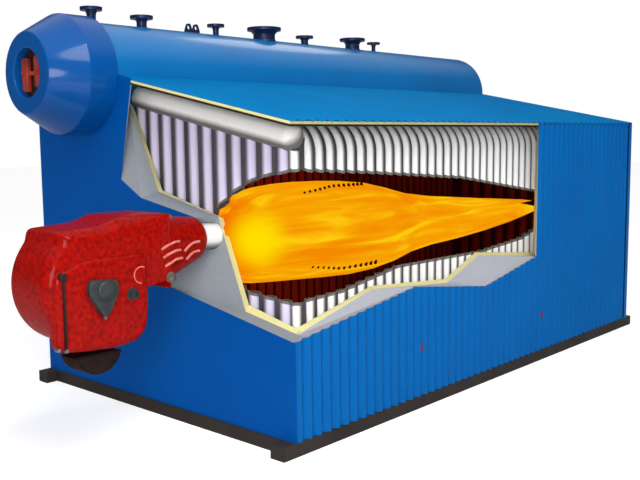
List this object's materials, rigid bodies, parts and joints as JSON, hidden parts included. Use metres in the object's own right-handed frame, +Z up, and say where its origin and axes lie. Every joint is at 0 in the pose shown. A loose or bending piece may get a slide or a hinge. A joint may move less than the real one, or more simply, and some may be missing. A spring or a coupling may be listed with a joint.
{
  "type": "industrial boiler",
  "caption": "Packaged water-tube steam boiler on a skid, top steam drum with flanged nozzles, red burner, ribbed blue casing cut away to show insulation, tube walls and furnace.",
  "frame": {"origin": "on the floor under the middle of the skid", "axes": "+Z up, +Y from the burner end to the rear, +X from the drum side to the cut-away furnace side"},
  "size_m": [3.15, 7.0965, 3.3009],
  "materials": {
    "skid_black": "matt near-black paint",
    "casing_blue": "satin blue paint",
    "drum_blue": "semi-gloss blue paint",
    "nozzle_navy": "dark navy paint",
    "insulation_grey": "cut face of grey mineral wool",
    "lining_cream": "cream ceramic board",
    "tube_white": "pale primer on boiler tubes",
    "refractory": "fired refractory",
    "manhole_brown": "red-brown primer",
    "flame_tube_steel": "bare turned steel",
    "burner_red": "glossy red paint",
    "burner_black": "dark grey plastic"
  },
  "bodies": {
    "root": {"burner_air_inlet": "burner_black", "burner_cone": "burner_red", "burner_flame_tube": "flame_tube_steel", "burner_hinge_bar": "burner_black", "burner_housing": "burner_red", "burner_servo_cap": "burner_black", "burner_side_cover": "burner_red", "burner_sight_knob": "burner_black", "corner_tube": "tube_white", "drum_front_hood": "drum_blue", "drum_nozzles": "nozzle_navy", "front_cladding": "casing_blue", "front_header": "tube_white", "front_insulation": "insulation_grey", "front_lining": "lining_cream", "front_lower_insulation": "insulation_grey", "front_lower_lining": "lining_cream", "front_tube_wall": "tube_white", "furnace_floor": "refractory", "left_cladding": "casing_blue", "lifting_lugs": "nozzle_navy", "manhole_cover": "manhole_brown", "manhole_yokes": "manhole_brown", "partition_tube_wall": "tube_white", "rear_cladding": "casing_blue", "rear_corner_trim": "casing_blue", "rear_tube_wall": "tube_white", "right_lower_cladding": "casing_blue", "right_lower_insulation": "insulation_grey", "right_lower_lining": "lining_cream", "right_rear_cladding": "casing_blue", "right_rear_insulation": "insulation_grey", "right_rear_lining": "lining_cream", "right_tube_wall": "tube_white", "roof_board": "lining_cream", "roof_left_cladding": "casing_blue", "roof_right_cladding": "casing_blue", "roof_tube_panel": "tube_white", "skid_cross_beams": "skid_black", "skid_front_beam": "skid_black", "skid_left_rail": "skid_black", "skid_rear_beam": "skid_black", "skid_right_rail": "skid_black", "steam_drum_shell": "drum_blue"}
  },
  "joints": []
}
